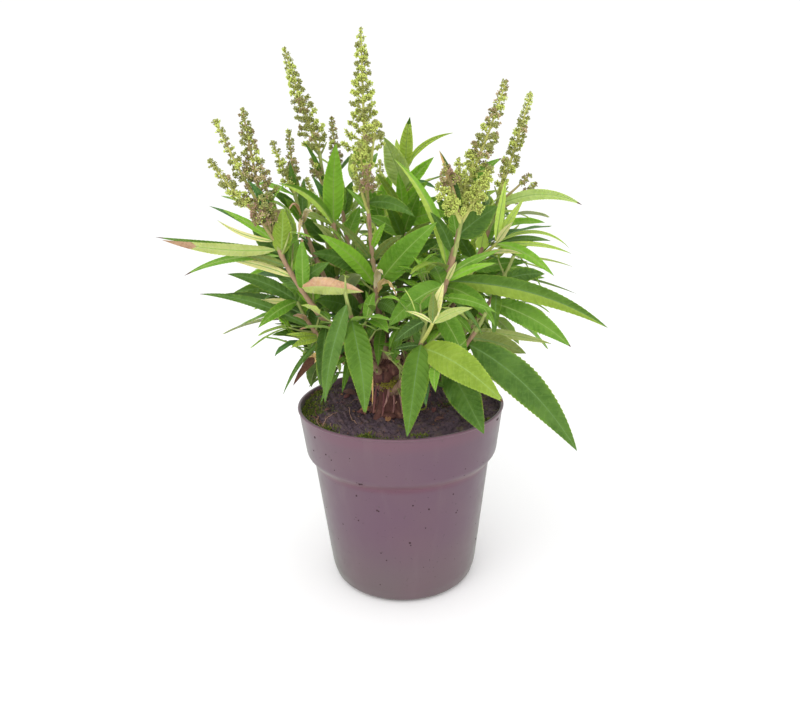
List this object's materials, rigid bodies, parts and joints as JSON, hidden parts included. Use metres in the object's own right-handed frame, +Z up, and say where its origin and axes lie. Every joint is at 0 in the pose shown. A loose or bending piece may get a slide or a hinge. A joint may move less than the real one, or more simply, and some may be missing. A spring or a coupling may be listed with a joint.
{
  "type": "potted butterfly bush",
  "caption": "Young butterfly bush in a round plastic nursery pot, with upright leafy shoots that end in spikes of tight flower buds.",
  "frame": {"origin": "on the pot's axis, on the flat underside that the pot stands on", "axes": "+Z up through the pot and the plant, +X to the plant's right as seen from its front, -Y towards the front"},
  "size_m": [0.327, 0.2739, 0.437],
  "materials": {
    "pot_plastic": "satin",
    "soil": "matte",
    "bark": "matte",
    "foliage": "satin"
  },
  "bodies": {
    "root": {"bough_back": "bark", "bough_back_centre": "bark", "bough_back_left": "bark", "bough_back_left_low": "bark", "bough_back_left_tall": "bark", "bough_back_low": "bark", "bough_back_right": "bark", "bough_centre": "bark", "bough_front": "bark", "bough_front_left": "bark", "bough_front_right": "bark", "bough_front_right_low": "bark", "bough_left": "bark", "bough_left_back": "bark", "bough_left_back_low": "bark", "bough_left_low": "bark", "bough_right": "bark", "bough_right_back": "bark", "bough_right_low": "bark", "bough_right_outer": "bark", "foliage_back": "foliage", "foliage_back_centre": "foliage", "foliage_back_left": "foliage", "foliage_back_left_low": "foliage", "foliage_back_left_tall": "foliage", "foliage_back_low": "foliage", "foliage_back_right": "foliage", "foliage_centre": "foliage", "foliage_front": "foliage", "foliage_front_left": "foliage", "foliage_front_right": "foliage", "foliage_front_right_low": "foliage", "foliage_left": "foliage", "foliage_left_back": "foliage", "foliage_left_back_low": "foliage", "foliage_left_low": "foliage", "foliage_right": "foliage", "foliage_right_back": "foliage", "foliage_right_low": "foliage", "foliage_right_outer": "foliage", "pot": "pot_plastic", "soil": "soil", "woody_base": "bark"}
  },
  "joints": []
}
